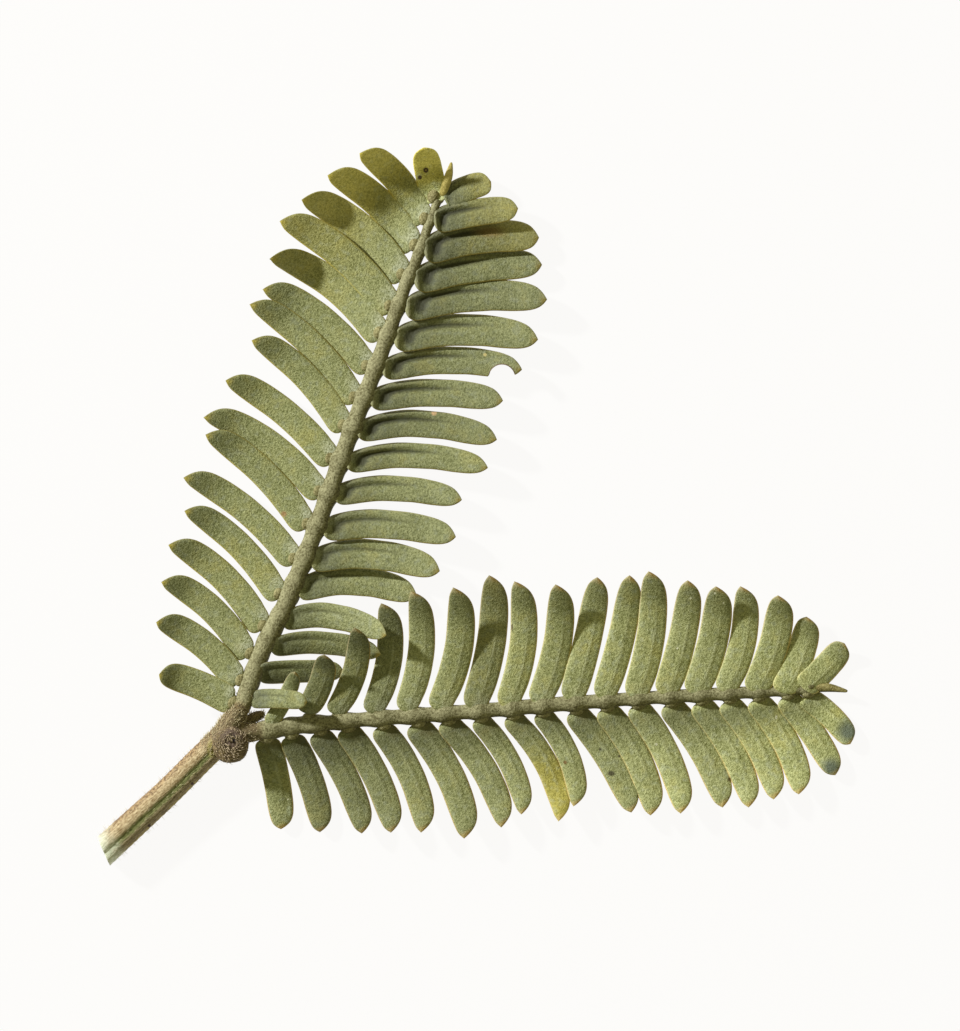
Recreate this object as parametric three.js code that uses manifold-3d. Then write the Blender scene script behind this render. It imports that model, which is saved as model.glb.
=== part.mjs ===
// One cut leaf of a cootamundra wattle, lying flat with its upper side up.
// A stout stalk ends in a swollen joint with a round gland, and two feather-like
// halves, the pinnae, leave it: each is a slim rib with two rows of thick leaflets.
// Millimetres, +Z up, the surface it lies on at z = 0, the stalk at the lower left.

import * as THREE from 'three';
import { mergeVertices } from 'three/addons/utils/BufferGeometryUtils.js';
import Module from 'manifold-3d';

const wasm = await Module();
wasm.setup();

// Driving sizes
const LEAFLET_WIDTH = 1.5;
const LEAFLET_THICKNESS = 0.62;
const NECK_SINK = 0.1;
const LEAFLET_BOW = 0.55;
const GLAND_RADIUS = 0.93;
const GLAND_CLEARANCE = 0.12;

// Places on the leaf are in the pixels of a photograph taken straight from above
const PIXELS_PER_MM = 18;
const PHOTO_MIDDLE = [476.5, 507];

// Routes from the stalk outwards: across, down, and in millimetres the height and the radius
const STALK_ROUTE = [
  [98, 857, 0.8, 0.84], [139.7, 818.1, 0.84, 0.79], [169.3, 790.7, 0.92, 0.76], [199.3, 760.7, 1.05, 0.75],
  [224, 736, 1.2, 0.74], [233, 722, 1.27, 0.68], [237.8, 714.5, 1.28, 0.53],
];
const RIGHT_ARM = [[228, 733, 1.15, 0.72], [242, 732.3, 1.15, 0.66], [256.4, 731.5, 1.13, 0.57]];
const AXIS_POINT = [
  [240.5, 725.5, 0.82, 0.32], [250, 719.5, 0.76, 0.31], [258, 715.5, 0.78, 0.25], [265, 713.5, 0.8, 0.12],
];
const UPPER_RIB = [
  [239, 712.2, 1.27, 0.51], [244.6, 700.8, 1.25, 0.47], [249.5, 686, 1.15, 0.52], [259, 658.5, 1.02, 0.51],
  [272, 631, 0.93, 0.55], [286.5, 603, 0.87, 0.56], [313.5, 536, 0.83, 0.55], [348, 441, 0.82, 0.55],
  [383, 349, 0.76, 0.49], [405, 287, 0.68, 0.41], [417, 259, 0.61, 0.37], [428, 227, 0.52, 0.29],
  [438, 199, 0.48, 0.22],
];
const RIGHT_RIB = [
  [258.8, 731.4, 1.13, 0.56], [276, 728.5, 1.07, 0.51], [300, 724.8, 1.02, 0.53], [330, 722.5, 0.97, 0.46],
  [360, 719.5, 0.92, 0.46], [430, 714.3, 0.86, 0.47], [500, 709, 0.82, 0.47], [550, 704.6, 0.8, 0.48],
  [620, 699.4, 0.77, 0.43], [680, 695.8, 0.74, 0.42], [740, 692.6, 0.68, 0.39], [785, 690.4, 0.58, 0.33],
  [812, 689, 0.48, 0.26],
];
const UPPER_BRISTLE = [
  [442, 196, 0.5, 0.18], [445.5, 186, 0.65, 0.24], [449, 175, 0.85, 0.22], [451.5, 163, 1, 0.07],
];
const RIGHT_BRISTLE = [[810, 688, 0.48, 0.24], [828, 687.5, 0.5, 0.24], [847, 691, 0.7, 0.08]];

// The stalk's slanting cut and the gland on its joint
const CUT_PLACE = [104, 850, 0];
const CUT_SLANT = THREE.MathUtils.degToRad(24);
const GLAND_PLACE = [233, 742.5, 1.85];
const GLAND_FLATNESS = 0.75;
// Share by which the gland is longer on its side towards the stalk, and the way it points
const GLAND_STRETCH = 0.3;
const GLAND_LEAN = THREE.MathUtils.degToRad(40);

// Each leaflet: root across and down, tip across and down, then its width as a share of
// LEAFLET_WIDTH and its bow as a share of LEAFLET_BOW
const UPPER_LEFT = [
  [228, 699, 160, 674, 1.08, 0.4], [235, 677, 157, 622, 1.05, 0.95], [245, 650, 162, 582, 1.02, 1.15],
  [260, 623, 169, 545, 1.06, 1.2], [277, 592, 185, 511, 1, 1.1], [292, 557, 184, 478, 1.02, 1.15],
  [304, 522, 206, 435, 1.06, 1.05], [318, 490, 204, 418, 1.06, 1.35], [329, 457, 226, 381, 1.04, 1],
  [342, 424, 252, 341, 1.02, 1.1], [353, 396, 250, 305, 1.03, 1.15], [366, 365, 263, 290, 1.04, 1.15],
  [378, 332, 270, 260, 1.14, 1.5], [389, 305, 280, 222, 1.2, 1.24], [400, 273, 302, 201, 1.2, 1.25],
  [410, 243, 328, 177, 1.16, 1.2], [420, 217, 360, 155, 1.08, 1], [434, 197, 424, 149, 1.06, 0],
];
const UPPER_RIGHT = [
  [255, 699, 308, 701, 0.72, 0.2], [262, 673, 344, 671, 0.86, 0.1], [275, 646, 381, 654, 0.86, 0.75],
  [287, 619, 387, 635, 0.95, 1.1], [302, 588, 417, 596, 1.1, 1.2], [315, 559, 440, 571, 1.12, 1.1],
  [327, 528, 456, 537, 1.08, 0.85], [338, 494, 462, 500, 0.96, 0.9], [350, 462, 488, 468, 0.95, 1],
  [361, 430, 497, 440, 1.02, 1.15], [374, 399, 503, 401, 1.04, 0.75], [386, 368.5, 522, 370, 1.04, 0.95],
  [398, 338.5, 538, 340, 1.2, 1.0], [409, 308, 547, 300, 1.2, 0.9], [418, 280, 542, 265, 1.2, 0.65],
  [428, 250, 539, 238, 1.25, 0.75], [438, 221, 518, 209, 1.04, 0.25], [449, 199, 491, 182, 0.98, 0.3],
];
const RIGHT_UPPER = [
  [273, 718, 295.5, 671, 0.62, 0.3], [309, 706, 325, 654, 0.92, 0.5], [338, 707, 355, 627, 0.93, 0.95],
  [375, 706, 381, 603, 1, 1.2], [408, 704, 411, 591, 1, 1.25], [441, 703, 453, 587, 1.08, 1.25],
  [476, 702, 489, 575, 1.1, 0.95], [509, 700, 514, 581, 1.03, 1.22], [541, 697, 555, 584, 1.08, 1],
  [573, 694, 597, 577, 1.05, 0.35], [605, 692, 629, 575, 1.02, 0.5], [637, 691, 648, 571, 1.08, 0.88],
  [667, 688, 687, 580, 1.06, 0.6], [697, 687, 715, 586, 1.14, 0.75], [727, 685, 739.5, 586, 1.02, 1.05],
  [757, 685, 777, 595, 1.13, 0.75], [785, 686, 806, 616.5, 1.08, 0.55], [808, 683, 844, 643, 1.02, 0.25],
];
const RIGHT_LOWER = [
  [268, 743, 281, 829, 1, 0.36], [293, 740, 320, 832, 1, 0.62], [321, 736, 362, 833, 0.98, 0.76],
  [349, 732, 391, 832, 1.02, 0.84], [384, 730, 421, 832, 1, 1.08], [419, 727, 464, 838, 1.1, 1.12],
  [449, 724, 501, 827, 1, 1.15], [482, 722, 521, 814, 0.86, 1.02], [514, 719, 558, 821, 0.9, 1.25],
  [544, 716, 573, 806, 0.86, 1.15], [577, 714, 631, 812, 1, 0.66], [608, 712, 650, 815, 1.05, 1.04],
  [639, 709, 680, 813, 1.02, 0.94], [672, 707, 722, 807, 1.05, 0.85], [702, 706, 748, 807, 1.02, 0.92],
  [730, 705, 773, 799, 1, 0.92], [759, 703, 798, 794, 1.04, 0.96], [788, 700, 835, 775, 0.98, 0.35],
  [808, 699, 850, 744, 0.92, 0.5],
];

// Heights in millimetres, at the middle handle and the tip, where leaflets cross, lie low or droop:
// the two pinnae interleave near the joint, and their last leaflets touch the surface. A third
// number is the share of the length at which a leaflet bends and then climbs straight on.
const UPPER_LEFT_HEIGHTS = {
  13: [0.35, 1.85, 0.66], 15: [0.35, 1.8, 0.68], 16: [0.4, 2.3, 0.28],
  17: [0.4, 2.4, 0.2], 18: [0.4, 2.4, 0.12],
};
const UPPER_RIGHT_HEIGHTS = {
  1: [2.4, 2.4], 2: [0.9, 0.8], 3: [0.75, 1.1], 4: [0.9, 2.45], 5: [0.6, 0.6], 15: [0.5, 0.5],
  16: [0.55, 0.6], 17: [0.9, 1.2], 18: [0.5, 0.7],
};
const RIGHT_UPPER_HEIGHTS = {
  1: [1.3, 1.7], 2: [1.5, 2.4], 3: [0.8, 2.5], 4: [0.25, 0.6], 5: [0.8, 1.7], 6: [0.9, 2.4], 7: [0.6, 0.95],
  9: [0.65, 2.05], 10: [0.6, 0.9], 14: [0.6, 1.65], 15: [0.5, 0.85], 17: [0.4, 0.5], 18: [0.1, 0.45],
};
const RIGHT_LOWER_HEIGHTS = {
  1: [0.35, 0.25], 2: [0.3, 0.3], 3: [0.6, 0.8], 18: [0.3, 0.34], 19: [0.25, 0.3],
};
const TIP_RISE = 0.35;

// Upper right leaflets that are rolled otherwise than their row, in degrees
const UPPER_RIGHT_ROLLS = { 1: -8, 2: 26, 3: 16, 4: 4 };

// Leaflet outline from heel to tip: share of the length, of the half width of a leaflet with a
// broad heel and of one with a round heel, and of the thickness. The first two rows are the neck
// that sinks into the rib, with the share measured along the neck.
const NECK_ROWS = [[0, 0, 0, 0], [0.6, 0.34, 0.34, 0.7]];
const BLADE_ROWS = [
  [0, 0.5, 0.44, 0.8], [0.04, 0.84, 0.74, 1], [0.1, 0.99, 0.93, 1], [0.22, 1.02, 1, 1], [0.4, 1, 1, 1],
  [0.6, 0.98, 0.98, 1], [0.78, 0.94, 0.94, 0.97], [0.88, 0.82, 0.82, 0.9], [0.95, 0.51, 0.51, 0.75],
  [1, 0, 0, 0],
];
const BROAD_HEEL = 1;
const ROUND_HEEL = 2;
// Shares of the bow at the blade's rows, for leaflets bent most past their middle or before it
const LATE_BOW = [0, 0.02, 0.1, 0.47, 0.82, 1, 0.9, 0.74, 0.46, 0];
const EARLY_BOW = [0, 0.03, 0.17, 0.56, 0.88, 0.88, 0.62, 0.42, 0.23, 0];
const LEAFLET_SIDES = 6;
const SMALLEST_DETAIL = 0.01;
const SAME_PLACE = 1e-4;
const CURL_START = 0.72;
const CURL_END = 1.05;
const RIB_SIDES = 8;
const STALK_SIDES = 12;
const CURVE_STEPS = 400;
// Number of lengths that each stem is divided into
const STALK_PARTS = 16;
const RIB_PARTS = 18;
const ARM_PARTS = 4;
const POINT_PARTS = 3;
const GLAND_SIDES = 16;

// The insect's bite in the lower edge of the upper pinna's twelfth right leaflet
const BITTEN_LEAFLET = 12;
const BITE_PLACE = [501.8, 377.8, 0];
const BITE_RADIUS = 0.72;
const BITE_REACH = 3;

// Point above the photograph's pixel, at a height in millimetres
function place(across, down, height) {
  return new THREE.Vector3(
    (across - PHOTO_MIDDLE[0]) / PIXELS_PER_MM,
    (PHOTO_MIDDLE[1] - down) / PIXELS_PER_MM,
    height,
  );
}

// Closed body as a solid: shared vertices merged, collapsed triangles at the poles left out
function toSolid(geometry) {
  const bare = geometry.clone();
  bare.deleteAttribute('normal');
  bare.deleteAttribute('uv');
  const merged = mergeVertices(bare, SAME_PLACE);
  const corners = merged.index.array;
  const kept = [];
  for (let i = 0; i < corners.length; i += 3) {
    const [a, b, c] = [corners[i], corners[i + 1], corners[i + 2]];
    if (a !== b && b !== c && c !== a) kept.push(a, b, c);
  }
  return new wasm.Manifold(new wasm.Mesh({
    numProp: 3,
    vertProperties: new Float32Array(merged.getAttribute('position').array),
    triVerts: new Uint32Array(kept),
  }));
}

// Solid as a mesh with its own colour
function toMesh(name, solid, color, roughness) {
  const { vertProperties, triVerts } = solid.getMesh();
  const geometry = new THREE.BufferGeometry();
  geometry.setAttribute('position', new THREE.BufferAttribute(new Float32Array(vertProperties), 3));
  geometry.setIndex(new THREE.BufferAttribute(new Uint32Array(triVerts), 1));
  geometry.computeVertexNormals();
  const mesh = new THREE.Mesh(geometry, new THREE.MeshStandardMaterial({ color, roughness, metalness: 0 }));
  mesh.name = name;
  return mesh;
}

// Turned body of unit radius rows: each row of vertices is then moved by shape(row, x, z)
function turned(rows, sides, shape) {
  const spindle = rows.map((radius, row) => new THREE.Vector2(radius, row));
  const geometry = new THREE.LatheGeometry(spindle, sides);
  const position = geometry.getAttribute('position');
  for (let i = 0; i < position.count; i += 1) {
    const point = shape(Math.round(position.getY(i)), position.getX(i), position.getZ(i));
    position.setXYZ(i, point.x, point.y, point.z);
  }
  return toSolid(geometry);
}

// Round stem along a route whose points each have their own radius
function stem(route, stations, sides) {
  const curve = new THREE.CatmullRomCurve3(route.map((point) => place(...point)));
  const radii = new THREE.CatmullRomCurve3(route.map((point) => new THREE.Vector3(point[3], 0, 0)));
  const up = new THREE.Vector3(0, 0, 1);
  const rows = [0];
  for (let row = 0; row <= stations; row += 1) rows.push(1);
  rows.push(0);
  const solid = turned(rows, sides, (row, x, z) => {
    const share = curve.getUtoTmapping(Math.min(Math.max((row - 1) / stations, 0), 1));
    const tangent = curve.getTangent(share);
    const side = new THREE.Vector3().crossVectors(tangent, up).normalize();
    const over = new THREE.Vector3().crossVectors(side, tangent);
    const radius = radii.getPoint(share).x;
    return curve.getPoint(share).addScaledVector(side, x * radius).addScaledVector(over, z * radius);
  });
  return { solid, curve };
}

// Nearest point of a rib's curve to a place seen from above
function nearestOnRib(curve, target) {
  let best = curve.getPointAt(0);
  for (let step = 0; step <= CURVE_STEPS; step += 1) {
    const point = curve.getPointAt(step / CURVE_STEPS);
    const distance = Math.hypot(point.x - target.x, point.y - target.y);
    if (distance < Math.hypot(best.x - target.x, best.y - target.y)) best = point;
  }
  return best;
}

// Height of a leaflet's middle line: a sagging arc, or one that bends and then climbs straight on
function heightAlong(share, foot, [handle, end, bend]) {
  if (!bend) return foot * (1 - share) ** 2 + 2 * handle * share * (1 - share) + end * share ** 2;
  if (share < bend) {
    const near = share / bend;
    return foot + (handle - foot) * (near + near ** 2 - near ** 3);
  }
  const far = (share - bend) / (1 - bend);
  return handle + (end - handle) * (2 * far ** 2 - far ** 3);
}

// One leaflet: a flattened, bowed blade whose tip curls up, with a neck sunk into the rib.
// toTip is +1 where the rib's tip lies to the left of the leaflet's own direction, and roll,
// in degrees, lifts the edge on that side. Reach is how far its heel runs past the root, lift
// its height over the rib's middle, drop how far it sags and curl how far its tip turns up.
function leaflet(curve, values, row, number) {
  const [rootAcross, rootDown, tipAcross, tipDown, widthShare, bowShare] = values;
  const root = place(rootAcross, rootDown, 0);
  const tip = place(tipAcross, tipDown, 0);
  const joint = nearestOnRib(curve, root);
  root.z = joint.z + row.lift;
  const heights = row.heights[number] ?? [root.z - row.drop, root.z + TIP_RISE];
  const along = new THREE.Vector3(tip.x - root.x, tip.y - root.y, 0);
  const length = along.length() + row.reach;
  along.normalize();
  root.addScaledVector(along, -row.reach);
  const distal = new THREE.Vector3(-along.y * row.toTip, along.x * row.toTip, 0);
  const halfWidth = (LEAFLET_WIDTH * widthShare) / 2;
  const turn = THREE.MathUtils.degToRad(row.rolls?.[number] ?? row.roll);
  const outline = [...NECK_ROWS, ...BLADE_ROWS];
  const sunk = joint.clone().addScaledVector(along, -NECK_SINK);
  return turned(outline.map((values) => values[row.heel]), LEAFLET_SIDES, (index, x, z) => {
    const [share, , , thickness] = outline[index];
    const across = z * halfWidth * row.toTip;
    const over = Math.sin(Math.atan2(x, z)) * thickness * (LEAFLET_THICKNESS / 2);
    const rolled = across * Math.cos(turn) - over * Math.sin(turn);
    const raised = across * Math.sin(turn) + over * Math.cos(turn);
    if (index < NECK_ROWS.length) {
      const point = sunk.clone().lerp(root, share);
      return point.addScaledVector(distal, rolled).add(new THREE.Vector3(0, 0, raised));
    }
    const bow = LEAFLET_BOW * bowShare * row.bows[index - NECK_ROWS.length];
    const curl = row.curl * THREE.MathUtils.smoothstep(share, CURL_START, CURL_END);
    return new THREE.Vector3(root.x, root.y, heightAlong(share, root.z, heights) + curl + raised)
      .addScaledVector(along, length * share)
      .addScaledVector(distal, rolled + bow);
  });
}

// What the insect has eaten: a round hole upright through one leaflet
function bite() {
  const middle = place(...BITE_PLACE);
  return turned([0, 1, 1, 0], GLAND_SIDES, (row, x, z) => (
    new THREE.Vector3(x * BITE_RADIUS, -z * BITE_RADIUS, row < 2 ? -BITE_REACH : BITE_REACH).add(middle)
  ));
}

// A pinna: the rib, its bristle tip and both rows of leaflets, fused
function pinna(ribRoute, bristleRoute, rows) {
  const rib = stem(ribRoute, RIB_PARTS, RIB_SIDES);
  const pieces = [rib.solid, stem(bristleRoute, POINT_PARTS, RIB_SIDES).solid];
  for (const row of rows) {
    row.leaflets.forEach((values, index) => {
      const whole = leaflet(rib.curve, values, row, index + 1);
      pieces.push(index + 1 === row.bitten ? whole.subtract(bite()) : whole);
    });
  }
  return wasm.Manifold.union(pieces).simplify(SMALLEST_DETAIL);
}

// Everything below the surface is cut off, which leaves the small flats that the leaf rests on
function onSurface(solid) {
  return solid.trimByPlane([0, 0, 1], 0);
}

// Gland: a low round knob with a pit, grown by a clearance for the seat that it sits in
function gland(clearance) {
  const middle = place(...GLAND_PLACE);
  const rings = [
    [-1, 0], [-0.92, 0.4], [-0.6, 0.8], [0, 1], [0.5, 0.86], [0.8, 0.55], [0.86, 0.3], [0.6, 0],
  ];
  return turned(rings.map((ring) => ring[1]), GLAND_SIDES, (row, x, z) => {
    const longer = 1 + (GLAND_STRETCH * (1 - Math.cos(Math.atan2(-z, x) - GLAND_LEAN))) / 2;
    return new THREE.Vector3(x * longer, -z * longer, rings[row][0] * GLAND_FLATNESS)
      .multiplyScalar(GLAND_RADIUS + clearance)
      .add(middle);
  });
}

// Stalk: its slanting cut end, the swollen joint, the stump that carries each pinna, the leaf
// axis's own small point between them, and the seat of the gland
function stalk() {
  const kept = new THREE.Vector3(Math.cos(CUT_SLANT), Math.sin(CUT_SLANT), 0);
  return stem(STALK_ROUTE, STALK_PARTS, STALK_SIDES).solid
    .add(stem(RIGHT_ARM, ARM_PARTS, STALK_SIDES).solid)
    .add(stem(AXIS_POINT, POINT_PARTS, RIB_SIDES).solid)
    .trimByPlane(kept.toArray(), kept.dot(place(...CUT_PLACE)))
    .subtract(gland(GLAND_CLEARANCE));
}

const upperPinna = pinna(
  UPPER_RIB,
  UPPER_BRISTLE,
  [
    {
      leaflets: UPPER_LEFT,
      toTip: -1,
      roll: 4,
      heel: BROAD_HEEL,
      bows: LATE_BOW,
      heights: UPPER_LEFT_HEIGHTS,
      reach: 0.3,
      lift: 0.08,
      drop: 0.2,
      curl: 0.3,
    },
    {
      leaflets: UPPER_RIGHT,
      toTip: 1,
      roll: -16,
      rolls: UPPER_RIGHT_ROLLS,
      heel: ROUND_HEEL,
      bows: EARLY_BOW,
      heights: UPPER_RIGHT_HEIGHTS,
      reach: 0.2,
      lift: 0.08,
      drop: 0.2,
      curl: 0.25,
      bitten: BITTEN_LEAFLET,
    },
  ],
);
const rightPinna = pinna(
  RIGHT_RIB,
  RIGHT_BRISTLE,
  [
    {
      leaflets: RIGHT_UPPER,
      toTip: -1,
      roll: -8,
      heel: ROUND_HEEL,
      bows: LATE_BOW,
      heights: RIGHT_UPPER_HEIGHTS,
      reach: 0.3,
      lift: 0.32,
      drop: 0.3,
      curl: 0.35,
    },
    {
      leaflets: RIGHT_LOWER,
      toTip: 1,
      roll: -8,
      heel: BROAD_HEEL,
      bows: LATE_BOW,
      heights: RIGHT_LOWER_HEIGHTS,
      reach: 0.2,
      lift: -0.12,
      drop: 0.25,
      curl: 0.2,
    },
  ],
);

const group = new THREE.Group();
group.add(
  toMesh('stem', onSurface(stalk()), 0x8f7f52, 0.85),
  toMesh('gland', gland(0), 0x4a3430, 0.8),
  toMesh('upper_pinna', onSurface(upperPinna), 0x8a9460, 0.8),
  toMesh('right_pinna', onSurface(rightPinna), 0x8a9460, 0.8),
);
export default group;
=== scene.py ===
# The finish of a cut cootamundra wattle leaf: skin, ribs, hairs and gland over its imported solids.
# Places on the leaf are given in the pixels of a photograph taken straight from above.

import math
import random
from collections import namedtuple

import bmesh
import bpy
import numpy as np
from mathutils import Matrix, Vector


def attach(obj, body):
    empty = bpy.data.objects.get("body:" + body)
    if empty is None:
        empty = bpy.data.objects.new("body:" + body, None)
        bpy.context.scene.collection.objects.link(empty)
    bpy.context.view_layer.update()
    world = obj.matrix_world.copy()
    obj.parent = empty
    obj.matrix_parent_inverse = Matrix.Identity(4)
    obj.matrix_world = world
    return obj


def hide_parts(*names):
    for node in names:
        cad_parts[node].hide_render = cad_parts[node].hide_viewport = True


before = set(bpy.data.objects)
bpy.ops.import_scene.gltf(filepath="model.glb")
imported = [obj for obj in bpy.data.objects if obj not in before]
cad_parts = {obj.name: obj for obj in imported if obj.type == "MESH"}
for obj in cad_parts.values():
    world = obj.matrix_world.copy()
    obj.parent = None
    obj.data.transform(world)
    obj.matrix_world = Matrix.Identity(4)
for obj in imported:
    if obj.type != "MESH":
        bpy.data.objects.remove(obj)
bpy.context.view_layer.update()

# Scale and frame of the photograph
MM = 0.001
PIXELS_PER_MM = 18
PHOTO_MIDDLE = (476.5, 507)
PHOTO_SIZE = (960, 1031)

# Driving sizes of a leaflet, in millimetres
LEAFLET_WIDTH = 1.5
LEAFLET_BOW = 0.55
LEAFLET_HALF_THICKNESS = 0.2
TIP_RISE = 0.35

# Shares of a leaflet's length between which its tip curls up
CURL_START = 0.72
CURL_END = 1.05

# How far the surface stands up or sinks, in millimetres
HEEL_RISE = 0.03
MIDDLE_HOLLOW = 0.02
EAR_HEIGHT = 0.24
EAR_HOLLOW = 0.24
FURROW_DEPTH = 0.2
BRIM_HEIGHT = 0.14
MIDRIB_HEIGHT = 0.045
MIDRIB_HOLLOW = 0.015
FAINT_MIDRIB_HEIGHT = 0.035
FAINT_HOLLOW = 0.03

# Routes from the stalk outwards: across, down, and in millimetres the height and the radius
STALK_ROUTE = [
    (99, 855.5, 0.8, 0.83), (139.7, 818.1, 0.84, 0.79), (169.3, 790.7, 0.92, 0.76),
    (199.3, 760.7, 1.05, 0.75), (224, 736, 1.2, 0.74), (233, 722, 1.27, 0.68),
    (237.8, 714.5, 1.28, 0.53), (240.5, 709, 1.27, 0.49),
]
RIGHT_ARM = [
    (228, 733, 1.15, 0.72), (242, 732.3, 1.15, 0.62), (256.4, 731.5, 1.13, 0.51), (266, 730.5, 1.1, 0.36),
]
AXIS_POINT = [
    (240.5, 725.5, 0.82, 0.32), (250, 719.5, 0.76, 0.31), (258, 715.5, 0.78, 0.28), (265, 713.5, 0.8, 0.18),
]
UPPER_RIB = [
    (239, 712.2, 1.27, 0.51), (244.6, 700.8, 1.25, 0.47), (249.5, 686, 1.15, 0.52), (259, 658.5, 1.02, 0.51),
    (272, 631, 0.93, 0.55), (286.5, 603, 0.87, 0.56), (313.5, 536, 0.83, 0.55), (348, 441, 0.82, 0.55),
    (383, 349, 0.76, 0.49), (405, 287, 0.68, 0.41), (417, 259, 0.61, 0.37), (428, 227, 0.52, 0.29),
    (438, 199, 0.48, 0.22),
]
RIGHT_RIB = [
    (251, 731.7, 1.14, 0.54), (276, 728.5, 1.07, 0.51), (300, 724.8, 1.02, 0.53), (330, 722.5, 0.97, 0.46),
    (360, 719.5, 0.92, 0.46), (430, 714.3, 0.86, 0.47), (500, 709, 0.82, 0.47), (550, 704.6, 0.8, 0.48),
    (620, 699.4, 0.77, 0.43), (680, 695.8, 0.74, 0.42), (740, 692.6, 0.68, 0.39), (785, 690.4, 0.58, 0.33),
    (812, 689, 0.48, 0.26),
]
UPPER_BRISTLE = [
    (442, 196, 0.5, 0.18), (445.5, 186, 0.65, 0.24), (449, 175, 0.85, 0.22), (451.5, 163, 1.0, 0.07),
]
RIGHT_BRISTLE = [(810, 688, 0.48, 0.24), (828, 687.5, 0.5, 0.24), (847, 691, 0.7, 0.08)]

# Each leaflet: root across and down, tip across and down, then its width as a share of
# LEAFLET_WIDTH and its bow as a share of LEAFLET_BOW
UPPER_LEFT = [
    (228, 699, 160, 674, 1.08, 0.4), (235, 677, 157, 622, 1.05, 0.95), (245, 650, 162, 582, 1.02, 1.15),
    (260, 623, 169, 545, 1.06, 1.2), (277, 592, 185, 511, 1, 1.1), (292, 557, 184, 478, 1.02, 1.15),
    (304, 522, 206, 435, 1.06, 1.05), (318, 490, 204, 418, 1.06, 1.35), (329, 457, 226, 381, 1.04, 1),
    (342, 424, 252, 341, 1.02, 1.1), (353, 396, 250, 305, 1.03, 1.15), (366, 365, 263, 290, 1.04, 1.15),
    (378, 332, 270, 260, 1.14, 1.5), (389, 305, 280, 222, 1.2, 1.24), (400, 273, 302, 201, 1.2, 1.25),
    (410, 243, 328, 177, 1.16, 1.2), (420, 217, 360, 155, 1.08, 1), (434, 197, 424, 149, 1.06, 0),
]
UPPER_RIGHT = [
    (255, 699, 308, 701, 0.72, 0.2), (262, 673, 344, 671, 0.86, 0.1), (275, 646, 381, 654, 0.86, 0.75),
    (287, 619, 387, 635, 0.95, 1.1), (302, 588, 417, 596, 1.1, 1.2), (315, 559, 440, 571, 1.12, 1.1),
    (327, 528, 456, 537, 1.08, 0.85), (338, 494, 462, 500, 0.96, 0.9), (350, 462, 488, 468, 0.95, 1),
    (361, 430, 497, 440, 1.02, 1.15), (374, 399, 503, 401, 1.04, 0.75), (386, 368.5, 522, 370, 1.04, 0.95),
    (398, 338.5, 538, 340, 1.2, 1.0), (409, 308, 547, 300, 1.2, 0.9), (418, 280, 542, 265, 1.2, 0.65),
    (428, 250, 539, 238, 1.25, 0.75), (438, 221, 518, 209, 1.04, 0.25), (449, 199, 491, 182, 0.98, 0.3),
]
RIGHT_UPPER = [
    (273, 718, 295.5, 671, 0.62, 0.3), (309, 706, 325, 654, 0.92, 0.5), (338, 707, 355, 627, 0.93, 0.95),
    (375, 706, 381, 603, 1, 1.2), (408, 704, 411, 591, 1, 1.25), (441, 703, 453, 587, 1.08, 1.25),
    (476, 702, 489, 575, 1.1, 0.95), (509, 700, 514, 581, 1.03, 1.22), (541, 697, 555, 584, 1.08, 1),
    (573, 694, 597, 577, 1.05, 0.35), (605, 692, 629, 575, 1.02, 0.5), (637, 691, 648, 571, 1.08, 0.88),
    (667, 688, 687, 580, 1.06, 0.6), (697, 687, 715, 586, 1.14, 0.75), (727, 685, 739.5, 586, 1.02, 1.05),
    (757, 685, 777, 595, 1.13, 0.75), (785, 686, 806, 616.5, 1.08, 0.55), (808, 683, 844, 643, 1.02, 0.25),
]
RIGHT_LOWER = [
    (268, 743, 281, 829, 1, 0.36), (293, 740, 320, 832, 1, 0.62), (321, 736, 362, 833, 0.98, 0.76),
    (349, 732, 391, 832, 1.02, 0.84), (384, 730, 421, 832, 1, 1.08), (419, 727, 464, 838, 1.1, 1.12),
    (449, 724, 501, 827, 1, 1.15), (482, 722, 521, 814, 0.86, 1.02), (514, 719, 558, 821, 0.9, 1.25),
    (544, 716, 573, 806, 0.86, 1.15), (577, 714, 631, 812, 1, 0.66), (608, 712, 650, 815, 1.05, 1.04),
    (639, 709, 680, 813, 1.02, 0.94), (672, 707, 722, 807, 1.05, 0.85), (702, 706, 748, 807, 1.02, 0.92),
    (730, 705, 773, 799, 1, 0.92), (759, 703, 798, 794, 1.04, 0.96), (788, 700, 835, 775, 0.98, 0.35),
    (808, 699, 850, 744, 0.92, 0.5),
]

# Heights in millimetres, at the middle handle and the tip, of the leaflets that cross, lie low or droop.
# A third number is the share of the length at which a leaflet bends and climbs straight on.
UPPER_LEFT_HEIGHTS = {
    13: (0.35, 1.85, 0.66), 15: (0.35, 1.8, 0.68), 16: (0.4, 2.3, 0.28), 17: (0.4, 2.4, 0.2),
    18: (0.4, 2.4, 0.12),
}
UPPER_RIGHT_HEIGHTS = {
    1: (2.4, 2.4), 2: (0.9, 0.8), 3: (0.75, 1.1), 4: (0.9, 2.45), 5: (0.6, 0.6), 15: (0.5, 0.5),
    16: (0.55, 0.6), 17: (0.9, 1.2), 18: (0.5, 0.7),
}
RIGHT_UPPER_HEIGHTS = {
    1: (1.3, 1.7), 2: (1.5, 2.4), 3: (0.8, 2.5), 4: (0.25, 0.6), 5: (0.8, 1.7), 6: (0.9, 2.4),
    7: (0.6, 0.95), 9: (0.65, 2.05), 10: (0.6, 0.9), 14: (0.6, 1.65), 15: (0.5, 0.85), 17: (0.4, 0.5),
    18: (0.1, 0.45),
}
RIGHT_LOWER_HEIGHTS = {1: (0.35, 0.25), 2: (0.3, 0.3), 3: (0.6, 0.8), 18: (0.3, 0.34), 19: (0.25, 0.3)}

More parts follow.
